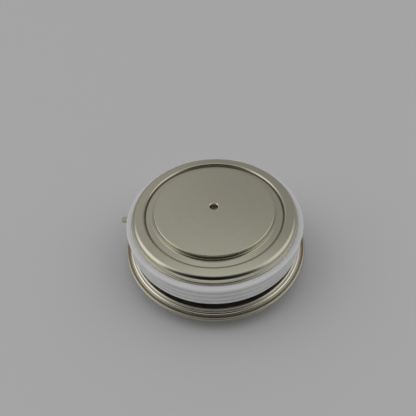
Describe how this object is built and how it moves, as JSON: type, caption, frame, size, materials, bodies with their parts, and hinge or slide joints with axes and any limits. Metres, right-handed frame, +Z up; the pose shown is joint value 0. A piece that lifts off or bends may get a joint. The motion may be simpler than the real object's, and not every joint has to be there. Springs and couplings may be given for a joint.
{
  "type": "press-pack thyristor",
  "caption": "Round ceramic and metal power semiconductor capsule with flat contact faces on both sides, a welded flange and a side gate terminal, made to be clamped between heat sinks.",
  "frame": {"origin": "centre of the lower (anode) contact face", "axes": "+Z up along the capsule's axis towards the upper (cathode) contact face, -X towards the gate terminal"},
  "size_m": [0.0808, 0.0802, 0.026],
  "materials": {
    "plated_copper": "satin nickel plating on copper, fine turned grain",
    "plated_sheet": "bright nickel plating on pressed sheet",
    "braze": "smooth silver braze",
    "alumina": "white glazed alumina",
    "silver": "soft silver foil",
    "molybdenum": "lapped",
    "silicon": "lapped silicon",
    "silicone_rubber": "soft matt rubber",
    "insulating_plastic": "white fluoroplastic",
    "spring_steel": "bright spring wire",
    "bare_copper": "drawn copper wire"
  },
  "bodies": {
    "root": {"anode_pole": "plated_copper", "anode_braze_washer": "braze", "anode_diaphragm": "plated_sheet", "rim_weld": "plated_sheet", "weld_ring": "plated_sheet", "lower_braze_ring": "plated_sheet", "ceramic_ring": "alumina", "upper_braze_ring": "braze", "cathode_diaphragm": "plated_sheet", "cathode_braze_washer": "braze", "cathode_pole": "plated_copper", "anode_shim": "silver", "anode_moly_disc": "molybdenum", "silicon_wafer": "silicon", "wafer_edge_seal": "silicone_rubber", "cathode_moly_disc": "molybdenum", "cathode_shim": "silver", "locating_ring": "insulating_plastic", "gate_pin": "braze", "gate_guide": "insulating_plastic", "gate_cup": "insulating_plastic", "gate_spring": "spring_steel", "gate_spring_seat": "spring_steel", "gate_lead": "bare_copper", "gate_lead_sleeve": "insulating_plastic", "gate_tube": "plated_sheet", "gate_tube_collar": "plated_sheet", "gate_solder": "braze", "gate_terminal": "plated_sheet"}
  },
  "joints": []
}
